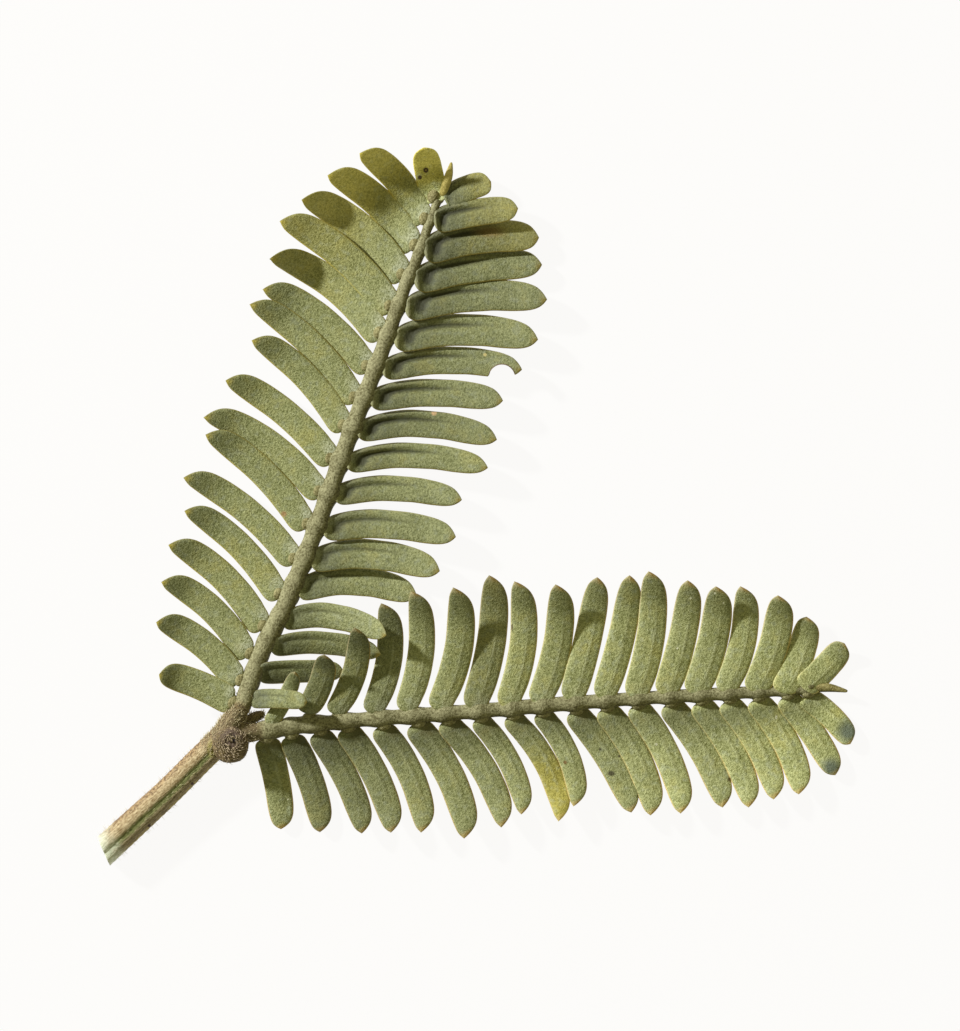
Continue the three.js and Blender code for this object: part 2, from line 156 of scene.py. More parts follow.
# Leaflet outline from heel to tip: share of the length, half width as a share, with a broad and with
# a round heel, and the share of a late and of an early bow
OUTLINE = [
    (0, 0, 0, 0, 0), (0.004, 0.32, 0.26, 0, 0), (0.012, 0.54, 0.45, 0, 0), (0.03, 0.78, 0.67, 0.01, 0.02),
    (0.06, 0.93, 0.84, 0.03, 0.06), (0.1, 0.99, 0.93, 0.1, 0.17), (0.16, 1.02, 0.98, 0.3, 0.38),
    (0.25, 1.02, 1, 0.55, 0.66), (0.36, 1, 1, 0.78, 0.88), (0.58, 0.98, 0.98, 1, 0.9),
    (0.78, 0.94, 0.94, 0.9, 0.62), (0.88, 0.82, 0.82, 0.74, 0.42), (0.94, 0.61, 0.61, 0.52, 0.28),
    (0.975, 0.33, 0.33, 0.3, 0.15), (0.992, 0.12, 0.12, 0.13, 0.06), (1, 0, 0, 0, 0),
]
BROAD_HEEL = 1
ROUND_HEEL = 2
LATE_BOW = 3
EARLY_BOW = 4

# The insect's bite, the gland and the cut, with places in pixels and sizes in millimetres
BITTEN_LEAFLET = 12
BITE_PLACE = (501.8, 377.8)
BITE_RADIUS = 0.72
BROWN_LIP = 0.08
GLAND_PLACE = (233, 742.5, 1.85)
GLAND_RADIUS = 0.93
GLAND_FLATNESS = 0.75
GLAND_STRETCH = 0.3
GLAND_LEAN = math.radians(40)
GLAND_PIT = (234, 738)
# The gland's outline from its foot over its top into the pit: height and radius as shares
GLAND_PROFILE = [
    (-1, 0.0), (-0.92, 0.4), (-0.6, 0.8), (0, 1.0), (0.4, 0.92), (0.65, 0.75), (0.82, 0.5),
    (0.86, 0.25), (0.7, 0.12), (0.5, 0.0),
]
GLAND_SIDES = 32
WRINKLES = 5
WRINKLE_DEPTH = 0.02
CUT_PLACE = (104, 850)
CUT_SLANT = math.radians(24)


def place(across, down, height=0.0):
    """Point in metres above a pixel of the photograph, at a height in millimetres."""
    return Vector((
        (across - PHOTO_MIDDLE[0]) / PIXELS_PER_MM * MM,
        (PHOTO_MIDDLE[1] - down) / PIXELS_PER_MM * MM,
        height * MM,
    ))


def smooth(low, high, value):
    """Smooth step from 0 at low to 1 at high."""
    share = np.clip((value - low) / (high - low), 0.0, 1.0)
    return share * share * (3 - 2 * share)


def hump(value, middle, width):
    """Bell of height 1 round a middle."""
    return np.exp(-((value - middle) / width) ** 2)


def through(rows, column, shares):
    """Smooth curve through one column of the outline's rows, read at each share."""
    xs = np.array([row[0] for row in rows], float)
    ys = np.array([row[column] for row in rows], float)
    steps = np.diff(ys) / np.diff(xs)
    slopes = np.concatenate(([steps[0]], (steps[:-1] + steps[1:]) / 2, [steps[-1]]))
    slopes[1:-1][steps[:-1] * steps[1:] <= 0] = 0
    cell = np.clip(np.searchsorted(xs, shares, side="right") - 1, 0, len(xs) - 2)
    width = xs[cell + 1] - xs[cell]
    t = (shares - xs[cell]) / width
    return (
        ys[cell] * (1 + 2 * t) * (1 - t) ** 2 + slopes[cell] * width * t * (1 - t) ** 2
        + ys[cell + 1] * t * t * (3 - 2 * t) + slopes[cell + 1] * width * t * t * (t - 1)
    )


class Route:
    """A smooth line through given points, each with its own radius, read by its share of length."""

    STEPS = 400

    def __init__(self, points):
        knots = np.array([[*place(*point[:3]), point[3] * MM] for point in points])
        padded = np.vstack((2 * knots[0] - knots[1], knots, 2 * knots[-1] - knots[-2]))
        rows = []
        for step in range(self.STEPS + 1):
            spot = step / self.STEPS * (len(knots) - 1)
            index = min(int(spot), len(knots) - 2)
            t = spot - index
            a, b, c, d = padded[index:index + 4]
            rows.append(0.5 * (2 * b + (c - a) * t + (2 * a - 5 * b + 4 * c - d) * t * t
                               + (3 * b - a - 3 * c + d) * t ** 3))
        self.rows = np.array(rows)
        pieces = np.linalg.norm(np.diff(self.rows[:, :3], axis=0), axis=1)
        self.length = pieces.sum()
        self.shares = np.concatenate(([0], np.cumsum(pieces))) / self.length

    def at(self, share):
        """Places and radii at shares of the length, as rows of x, y, z, radius."""
        share = np.atleast_1d(share)
        return np.stack([np.interp(share, self.shares, self.rows[:, k]) for k in range(4)], axis=1)

    def frame_at(self, share):
        """Forward, sideways and upward directions at shares of the length."""
        near = 0.004
        forward = self.at(np.clip(share + near, 0, 1))[:, :3] - self.at(np.clip(share - near, 0, 1))[:, :3]
        forward /= np.linalg.norm(forward, axis=1)[:, None]
        side = np.cross(forward, (0, 0, 1))
        side /= np.linalg.norm(side, axis=1)[:, None]
        return forward, side, np.cross(side, forward)

    def nearest(self, spot):
        """Share of the length, and the point, nearest to a spot seen from above."""
        index = int(np.argmin(np.linalg.norm(self.rows[:, :2] - np.array(spot[:2]), axis=1)))
        return self.shares[index], Vector(self.rows[index, :3])


BEAD_RINGS = 8
BEAD_SIDES = 10

# Radius of a stem's end rings, as a share, so that the ends are rounded
BLUNT_END = 0.6

# Values that the skins read at each point of a piece
MARKS = ("along", "across", "tint", "yellow", "relief")


def turned(bm, rings, sides, shape, marks=None):
    """Closed turned body of rings and sides, whose points shape(ring, angle) moves to their places.

    Ring 0 and the last ring are the two poles. marks gives each named vertex layer its values.
    """
    for name in MARKS:
        if name not in bm.verts.layers.float:
            bm.verts.layers.float.new(name)
    made = bmesh.ops.create_uvsphere(bm, u_segments=sides, v_segments=rings, radius=1.0)["verts"]
    spots = np.array([vertex.co for vertex in made])
    ring = np.rint(np.arccos(np.clip(-spots[:, 2], -1, 1)) / math.pi * rings).astype(int)
    angle = np.arctan2(spots[:, 1], spots[:, 0])
    moved = shape(ring, angle)
    for vertex, spot in zip(made, moved):
        vertex.co = spot
    for name, values in (marks(ring, angle) if marks else {}).items():
        layer = bm.verts.layers.float[name]
        for vertex, value in zip(made, values):
            vertex[layer] = value


def tube(bm, route, rings, sides, swell=None, span=(0.0, 1.0), tint=0.0, yellow=0.0):
    """Round stem along a route. swell(share, angle) gives a factor on the radius.

    Its marks are the share of the route along, spread over a span, and across the cosine of the
    angle from its right side.
    """
    def share_of(ring):
        return np.clip((ring - 1) / (rings - 2), 0, 1)

    def shape(ring, angle):
        share = share_of(ring)
        rows = route.at(share)
        forward, side, up = route.frame_at(share)
        radius = rows[:, 3] * (swell(share, angle) if swell else 1)
        radius = np.where((ring == 1) | (ring == rings - 1), radius * BLUNT_END, radius)
        radius = np.where((ring == 0) | (ring == rings), 0, radius)
        return rows[:, :3] + (side * np.cos(angle)[:, None] + up * np.sin(angle)[:, None]) * radius[:, None]

    def marks(ring, angle):
        along = span[0] + share_of(ring) * (span[1] - span[0])
        ones = np.ones(len(ring))
        return {"along": along, "across": np.cos(angle), "tint": ones * tint, "yellow": ones * yellow}

    turned(bm, rings, sides, shape, marks)


def bead(bm, middle, direction, half_sizes, yellow):
    """Small egg-shaped swelling: half its length along a direction, half its width and half its height."""
    forward = Vector(direction).normalized()
    side = forward.cross(Vector((0, 0, 1))).normalized()
    up = side.cross(forward)
    axes = np.array([forward * half_sizes[0], side * half_sizes[1], up * half_sizes[2]]) * MM

    def shape(ring, angle):
        lean = ring / BEAD_RINGS * math.pi
        ball = np.stack((-np.cos(lean), np.sin(lean) * np.cos(angle), np.sin(lean) * np.sin(angle)), axis=1)
        return ball @ axes + np.array(middle)

    turned(bm, BEAD_RINGS, BEAD_SIDES, shape, lambda ring, angle: {
        "yellow": np.full(len(ring), yellow), "along": np.ones(len(ring)),
    })


def added(name, data):
    """New object in the scene, at the origin."""
    made = bpy.data.objects.new(name, data)
    bpy.context.scene.collection.objects.link(made)
    return made


def finished(name, bm, material, replaced=()):
    """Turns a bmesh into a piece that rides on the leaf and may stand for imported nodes."""
    bmesh.ops.recalc_face_normals(bm, faces=bm.faces)
    mesh = bpy.data.meshes.new(name)
    bm.to_mesh(mesh)
    bm.free()
    mesh.shade_smooth()
    mesh.materials.append(material)
    piece = added(name, mesh)
    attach(piece, "root")
    if replaced:
        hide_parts(*replaced)
    return piece


class Wire:
    """An output in a material, so that sums on it are written as plain expressions."""

    def __init__(self, paint, socket):
        self.paint = paint
        self.socket = socket

    def sum(self, operation, first, second=0.0):
        return self.paint.node("ShaderNodeMath", {"operation": operation}, {0: first, 1: second})

    def __add__(self, other):
        return self.sum("ADD", self, other)

    __radd__ = __add__

    def __sub__(self, other):
        return self.sum("SUBTRACT", self, other)

    def __rsub__(self, other):
        return self.sum("SUBTRACT", other, self)

    def __mul__(self, other):
        return self.sum("MULTIPLY", self, other)

    __rmul__ = __mul__

    def __abs__(self):
        return self.sum("ABSOLUTE", self)


BUMP_STRENGTH = 0.9


class Paint:
    """One material and the nodes that colour it."""

    def __init__(self, name, **constants):
        self.material = bpy.data.materials.new(name)
        self.material.use_nodes = True
        self.tree = self.material.node_tree
        self.shader = self.tree.nodes["Principled BSDF"]
        for key, value in constants.items():
            self.shader.inputs[key.replace("_", " ")].default_value = value
        self.spot = self.node("ShaderNodeTexCoord", output="Object")

    def node(self, kind, settings=None, inputs=None, output=0):
        made = self.tree.nodes.new(kind)
        for name, value in (settings or {}).items():
            setattr(made, name, value)
        for key, value in (inputs or {}).items():
            self.feed(made.inputs[key], value)
        return Wire(self, made.outputs[output])

    def feed(self, socket, value):
        if isinstance(value, Wire):
            self.tree.links.new(value.socket, socket)
        else:
            socket.default_value = value

    def mark(self, name):
        return self.node("ShaderNodeAttribute", {"attribute_name": name}, output="Fac")

    def noise(self, size_mm, detail=2.0, roughness=0.5):
        """Noise from 0 to 1 whose blotches are about this size."""
        return self.node("ShaderNodeTexNoise", {}, {
            "Vector": self.spot, "Scale": 1 / (size_mm * MM), "Detail": detail, "Roughness": roughness,
        })

    def step(self, value, low, high):
        """Smooth step of a value, from 0 at low to 1 at high."""
        return self.node("ShaderNodeMapRange", {"interpolation_type": "SMOOTHSTEP"}, {
            "Value": value, "From Min": low, "From Max": high,
        })

    def blend(self, share, first, second, mode="MIX"):
        return self.node("ShaderNodeMix", {"data_type": "RGBA", "blend_type": mode}, {
            0: share, 6: first, 7: second,
        }, output=2)

    def spot_mask(self, across, down, radius_mm, softness=0.5, stretch=(1, 1)):
        """1 within a radius of a pixel of the photograph, seen from above, and 0 outside it."""
        shifted = self.node("ShaderNodeVectorMath", {"operation": "SUBTRACT"}, {
            0: self.spot, 1: place(across, down),
        })
        flat = self.node("ShaderNodeVectorMath", {"operation": "MULTIPLY"}, {
            0: shifted, 1: (1 / stretch[0], 1 / stretch[1], 0),
        })
        far = self.node("ShaderNodeVectorMath", {"operation": "LENGTH"}, {0: flat}, output="Value")
        return 1 - self.step(far, radius_mm * MM * (1 - softness), radius_mm * MM)

    def bump(self, height, depth_mm):
        return self.node("ShaderNodeBump", {}, {
            "Height": height, "Distance": depth_mm * MM, "Strength": BUMP_STRENGTH,
        })

    def finish(self, **channels):
        for key, value in channels.items():
            self.feed(self.shader.inputs[key.replace("_", " ")], value)
        return self.material


def shade(red, green, blue):
    """Colour in the shader's linear light from one read off as 0 to 255."""
    linear = [((c / 255 + 0.055) / 1.055) ** 2.4 if c > 10 else c / 255 / 12.92 for c in (red, green, blue)]
    return (*linear, 1.0)


# Finishes as two colours that were read off: that of the dull parts and that of the mealy parts
GREEN_SKIN = (shade(92, 96, 44), shade(172, 174, 126))
OLIVE_SKIN = (shade(98, 92, 28), shade(164, 156, 82))
# Painted glow for the light let through the tips of yellow leaflets
PAINTED_THROUGH_GLOW = (shade(118, 112, 44), shade(162, 150, 76))
RIB_SKIN = (shade(84, 78, 44), shade(158, 154, 118))
FRESH_SKIN = (shade(104, 92, 40), shade(166, 152, 90))
WOOLLY_SKIN = (shade(66, 50, 30), shade(142, 124, 84))
STALK_FACE = (shade(124, 100, 62), shade(202, 184, 148))
RUSSET_MARGIN = (shade(78, 54, 34), shade(162, 134, 94))
GREEN_GROOVE = (shade(70, 74, 30), shade(140, 142, 92))
BROWN_RIDGE = (shade(92, 78, 52), shade(168, 152, 120))
GILT_EDGE = (shade(132, 112, 48), shade(200, 184, 116))
GOLDEN_WOOL = (shade(62, 50, 34), shade(134, 118, 86))
BLEACHED_END = (shade(186, 190, 162), shade(232, 234, 216))
GLAND_FLANK = (shade(80, 62, 38), shade(136, 118, 80))
GLAND_CROWN = (shade(52, 38, 34), shade(112, 92, 74))

# Single colours
GREY_BLOOM = shade(150, 156, 138)
# A pale midrib with a painted highlight, a line of painted shade along a furrow, painted shade in hollows
# and a painted highlight on raised parts
PALE_MIDRIB_AND_HIGHLIGHT = shade(190, 192, 152)
PAINTED_FURROW_SHADE = shade(60, 62, 28)
PAINTED_HOLLOW_SHADE = shade(54, 54, 24)
PAINTED_RIDGE_HIGHLIGHT = shade(170, 164, 122)
# Painted glow over the leaflets' faces and on their thin edges
PAINTED_FACE_GLOW = shade(16, 16, 4)
PAINTED_EDGE_GLOW = shade(94, 80, 26)
SHADED_FLANK = shade(62, 54, 34)
# Painted glow on the upper bristle
PAINTED_BRISTLE_GLOW = shade(128, 118, 56)
NO_GLOW = shade(0, 0, 0)
YELLOW_SCAR = shade(158, 148, 84)
PIT_PURPLE = shade(34, 24, 34)
DARK_BROWN = shade(70, 52, 34)
DARK_OLIVE = shade(60, 52, 30)
MEALY_WHITE = shade(214, 212, 186)
# Painted shade
PAINTED_BLUISH_SHADE = shade(78, 88, 82)
WAX = shade(196, 198, 184)
# Brown heels with painted shade from the rib
BROWN_HEEL_AND_SHADE = shade(104, 94, 62)
PALE_HAIR = shade(206, 192, 158)
GOLDEN_HAIR = shade(194, 180, 142)
GLAND_HAIR = shade(172, 154, 124)

# Rings and sides of a leaflet's turned body, with closer rings where the bite is
LEAFLET_SIDES = 36
LEAFLET_RINGS = 44
BITTEN_RINGS = 140

# Powers that round a leaflet's long edges and its two ends
EDGE_FULLNESS = 0.75
END_FULLNESS = 8

# Share of the brightness that one step of tone, with its painted light and shade, adds, and the steps by
# which single leaflets stray
TINT_STEP = 0.1
TINT_SCATTER = 0.4
RANDOM_SEED = 7


class Row:
    """One row of leaflets: where they are, how they bend and how single ones look.

    to_tip is 1 where the rib's tip lies to the left of a leaflet's own direction, and roll, in degrees,
    lifts the edge on that side. In millimetres, reach is how far the heel runs past the root, lift its
    height over the rib's middle, drop how far the blade sags behind it and curl how far the tip rises. The
    row's brightness is given in steps for its first and last leaflets, and holds their own tone together
    with painted light and shade. By number, single leaflets get their roll, their brightness, again tone
    with painted light and shade, and their yellow, which also gives their tips a painted glow; calm is the
    share of the relief that they keep.
    """

    def __init__(self, name, leaflets, heights, relief, to_tip, roll, heel, bow, curl, reach, row_tones_and_painted_light,
                 lift=0.08, drop=0.2, rolls=None, calm=None, leaflet_tones_and_painted_light=None, yellows_and_glows=None, bitten=0):
        self.name = name
        self.leaflets = leaflets
        self.heights = heights
        self.relief = relief
        self.to_tip = to_tip
        self.roll = roll
        self.heel = heel
        self.bow = bow
        self.curl = curl
        self.reach = reach
        self.row_tones_and_painted_light = row_tones_and_painted_light
        self.lift = lift
        self.drop = drop
        self.rolls = rolls or {}
        self.calm = calm or {}
        self.leaflet_tones_and_painted_light = leaflet_tones_and_painted_light or {}
        self.yellows_and_glows = yellows_and_glows or {}
        self.bitten = bitten

    def leaflet(self, bm, rib, number, shade_of_leaflet):
        """One leaflet: a thick bowed blade with a raised heel, whose tip curls up."""
        values = self.leaflets[number - 1]
        root = place(*values[:2])
        tip = place(*values[2:4])
        root.z = rib.nearest(root)[1].z + self.lift * MM
        start = root.z / MM
        handle, end, *climb = self.heights.get(number, (start - self.drop, start + TIP_RISE))
        along = Vector((tip.x - root.x, tip.y - root.y, 0))
        length = along.length
        along.normalize()
        root -= along * self.reach * MM
        length += self.reach * MM
        distal = Vector((-along.y * self.to_tip, along.x * self.to_tip, 0))
        half_width = LEAFLET_WIDTH * values[4] / 2 * MM
        bow = LEAFLET_BOW * values[5] * MM
        tilt = math.sin(math.radians(self.rolls.get(number, self.roll)))
        depth = self.calm.get(number, 1.0)
        rings = BITTEN_RINGS if number == self.bitten else LEAFLET_RINGS

        def share_of(ring):
            return (1 - np.cos(ring / rings * math.pi)) / 2

        def shape(ring, angle):
            share = share_of(ring)
            across = np.cos(angle)
            over = np.sin(angle)
            width = np.maximum(through(OUTLINE, self.heel, share), 0) * half_width
            plump = np.sqrt(np.clip(1 - (2 * share - 1) ** END_FULLNESS, 0, 1))
            thick = np.sign(over) * np.abs(over) ** EDGE_FULLNESS * plump * LEAFLET_HALF_THICKNESS * MM
            if climb:
                centre = through([(0, start), (climb[0], handle), (1, end)], 1, share)
            else:
                centre = start * (1 - share) ** 2 + 2 * handle * share * (1 - share) + end * share ** 2
            centre = (centre + self.curl * smooth(CURL_START, CURL_END, share)) * MM
            relief = self.relief(share, across) * depth * MM * np.clip(over * 3, 0, 1)
            sidewise = across * width + bow * through(OUTLINE, self.bow, share)
            spots = np.outer(length * share, along) + np.outer(sidewise, distal) + np.array(root)
            spots[:, 2] = centre + thick + relief + across * width * tilt
            return eaten(spots) if number == self.bitten else spots

        def marks(ring, angle):
            ones = np.ones(len(ring))
            share = share_of(ring)
            across = np.cos(angle)
            return {
                "along": share, "across": across, "tint": ones * shade_of_leaflet,
                "yellow": ones * self.yellows_and_glows.get(number, 0.0), "relief": self.relief(share, across) * depth,
            }

        turned(bm, rings, LEAFLET_SIDES, shape, marks)

    def build(self, rib, node, skin):
        chance = random.Random(f"{RANDOM_SEED} {self.name}")
        bm = bmesh.new()
        for number in range(1, len(self.leaflets) + 1):
            share = number / len(self.leaflets)
            own = self.row_tones_and_painted_light[0] * (1 - share) + self.row_tones_and_painted_light[1] * share
            own += chance.uniform(-TINT_SCATTER, TINT_SCATTER)
            self.leaflet(bm, rib, number, self.leaflet_tones_and_painted_light.get(number, own))
        finished(self.name, bm, skin, (node,))


def eaten(spots):
    """Pushes the lower edge of a leaflet up to the round bite that an insect has left in it."""
    middle = place(*BITE_PLACE)
    aside = (spots[:, 0] - middle.x) / (BITE_RADIUS * MM)
    brink = middle.y + np.sqrt(np.clip(1 - aside ** 2, 0, 1)) * BITE_RADIUS * MM
    gone = (np.abs(aside) < 1) & (spots[:, 1] < brink)
    spots[gone, 1] = brink[gone]
    return spots


def flat_relief(share, across):
    """Upper left row: an even face, faintly raised at the heel and hollow along its middle."""
    return HEEL_RISE * hump(share, 0.05, 0.05) - MIDDLE_HOLLOW * hump(across, 0, 0.5)


def eared_relief(share, across):
    """Upper right row: a heel rolled like an ear, a hollow behind it and a furrow beside a brim."""
    ear = EAR_HEIGHT * hump(share, 0.02, 0.03) * (1 - 0.25 * across)
    hollow = EAR_HOLLOW * hump(share, 0.11, 0.05) * hump(across, -0.1, 0.5)
    furrow = FURROW_DEPTH * hump(across, 0.3, 0.2) * smooth(0.08, 0.16, share)
    furrow = furrow * (1 - smooth(0.35, 0.8, share))
    brim = BRIM_HEIGHT * hump(across, 0.75, 0.2) * smooth(0.0, 0.05, share)
    brim = brim * (1 - smooth(0.2, 0.65, share))
    return ear - hollow - furrow + brim


def ridged_relief(share, across):
    """Right pinna, upper row: a thin midrib that stands out over the first two thirds."""
    fade = smooth(0.0, 0.12, share) * (1 - smooth(0.5, 0.85, share))
    return (MIDRIB_HEIGHT * hump(across, 0.22, 0.09) - MIDRIB_HOLLOW * hump(across, 0.5, 0.2)) * fade


def soft_relief(share, across):
    """Right pinna, lower row: a faint midrib with a shallow hollow beside it."""
    fade = smooth(0.1, 0.25, share) * (1 - smooth(0.6, 0.9, share))
    return (FAINT_MIDRIB_HEIGHT * hump(across, 0.15, 0.12) - FAINT_HOLLOW * hump(across, 0.45, 0.2)) * fade


# A spot on the skin, at a pixel of the photograph, with its radius in millimetres: a stain, speck or hole,
# and on a few leaflets painted shade and painted light
SkinSpot = namedtuple(
    "SkinSpot", "across down radius colour stretch softness strength", defaults=((1, 1), 0.6, 0.85),
)


def leaflet_skin(name, streak, heel, far_rim, near_rim, painted_shade_foot=0.0, painted_shade_tip=0.0, skin_spots=()):
    """Thick mealy skin of a row of leaflets.

    streak is the midrib's strength, its place across and its half width: above 0 it is a pale midrib with a
    painted highlight, and below 0 a line of painted shade along the furrow. heel is the colour of the heels
    and how strong it is; on the right pinna's lower row the heels are brown with painted shade from the rib.
    The rims are the colours of the thin edges, on the side of the rib's tip and on that of its foot. The two
    shares for the foot and the tip are the brightness that the skin loses there to painted shade. The skin
    gives off a faint painted glow over its faces and thin edges, and a stronger one at the tips of yellow
    leaflets, in place of the light that they let through.
    """
    paint = Paint(name, Roughness=0.75, Specular_IOR_Level=0.35, Emission_Strength=0.5)
    along = paint.mark("along")
    across = paint.mark("across")
    tint = paint.mark("tint")
    yellow = paint.mark("yellow")
    relief = paint.mark("relief")
    fine = paint.noise(size_mm=0.055, detail=1.0)
    grain = paint.noise(size_mm=0.13, roughness=0.6)
    patch = paint.noise(size_mm=0.8)
    wide = paint.noise(size_mm=3.0, detail=1.0)
    bloom = paint.noise(size_mm=0.35, detail=1.0)

    # The meal over the green, riper in patches and towards the tips, with waxy heels; on the right pinna's
    # lower row the heels are brown with painted shade from the rib, which fades on the brighter leaflets
    meal = paint.step(fine * 0.4 + grain * 0.45 + patch * 0.15, 0.3, 0.7)
    ripe = paint.step(patch * 0.6 + wide * 0.4, 0.48, 0.7) * 0.45 + yellow * paint.step(along, 0.15, 0.65)
    ripe = paint.node("ShaderNodeClamp", {}, {0: ripe})
    skin = paint.blend(ripe, paint.blend(meal, *GREEN_SKIN), paint.blend(meal, *OLIVE_SKIN))
    heel_wax_and_shade = (1 - paint.step(along, 0.03, 0.2)) * paint.step(across + (patch - 0.5) * 2, -0.6, 0.5)
    heel_wax_and_shade = heel_wax_and_shade * (1 - paint.step(tint, 0, 4) * 0.8)
    skin = paint.blend(heel_wax_and_shade * paint.step(meal, 0.0, 0.7) * heel[1], skin, heel[0])
    skin = paint.blend(paint.step(bloom, 0.5, 0.75) * 0.3, skin, GREY_BLOOM)

    # The midrib, pale with a painted highlight where the streak is above 0 and a line of painted shade along
    # the furrow where it is below, then painted shade in the relief's hollows and a painted highlight on its
    # raised parts
    if streak:
        strength, middle, half_width = streak
        line = (1 - paint.step(abs(across - middle), 0.0, half_width)) * paint.step(patch, 0.2, 0.55)
        line = line * paint.step(along, 0.06, 0.2) * (1 - paint.step(along, 0.5, 0.85)) * abs(strength)
        skin = paint.blend(line, skin, PALE_MIDRIB_AND_HIGHLIGHT if strength > 0 else PAINTED_FURROW_SHADE)
    skin = paint.blend(paint.step(0 - relief, 0.03, 0.2) * 0.85, skin, PAINTED_HOLLOW_SHADE)
    skin = paint.blend(paint.step(relief, 0.03, 0.2) * 0.4, skin, PAINTED_RIDGE_HIGHLIGHT)

    # The thin rims
    thin = paint.step(abs(across) + (grain - 0.5) * 0.08, 0.88, 0.975)
    end = paint.step(along + (grain - 0.5) * 0.03, 0.93, 0.99)
    brink = paint.node("ShaderNodeMath", {"operation": "MAXIMUM"}, {0: thin, 1: end})
    rim = paint.blend(paint.step(across, -0.3, 0.3), near_rim, far_rim)
    skin = paint.blend(brink * (paint.step(along, 0.3, 0.85) * 0.55 + 0.3), skin, rim)

    # The brightness of each leaflet, its own tone with painted light and shade, over its length and in broad
    # patches, with painted shade towards the foot and the tip
    foot = paint.step(along, 0.03, 0.1) * (1 - paint.step(along, 0.1, 0.5))
    tip = paint.step(along, 0.55, 0.95) * (1 - paint.step(yellow, 0.3, 1))
    bright = 1 + tint * TINT_STEP + (wide - 0.5) * 0.25
    bright = bright * (1 - foot * painted_shade_foot - tip * painted_shade_tip)
    skin = paint.blend(1.0, skin, bright, "MULTIPLY")

    # Stains, specks and holes, with painted shade and painted light at a few spots, and the painted glow for
    # light let through elsewhere
    painted_glow_share = paint.step(along, 0.4, 0.9) * yellow
    for mark in skin_spots:
        mask = paint.spot_mask(mark.across, mark.down, mark.radius, mark.softness, mark.stretch)
        mask = mask * mark.strength
        skin = paint.blend(mask, skin, mark.colour)
        painted_glow_share = painted_glow_share * (1 - mask)
    # Painted glow: faint over the faces, stronger on the thin edges and strongest at the tips of yellow
    # leaflets
    painted_glow = paint.blend(brink, PAINTED_FACE_GLOW, PAINTED_EDGE_GLOW)
    painted_glow = paint.blend(painted_glow_share, painted_glow, paint.blend(meal, *PAINTED_THROUGH_GLOW))
    return paint.finish(
        Base_Color=skin, Roughness=meal * 0.15 + 0.62, Emission_Color=painted_glow,
        Normal=paint.bump(fine * 0.4 + grain * 0.6, depth_mm=0.09),
    )


# Specks of meal on the right pinna's upper row: pixel and radius
MEALY_SPECKS = [(690, 598, 0.09), (677, 648, 0.08), (714, 593, 0.08), (723, 603, 0.08)]

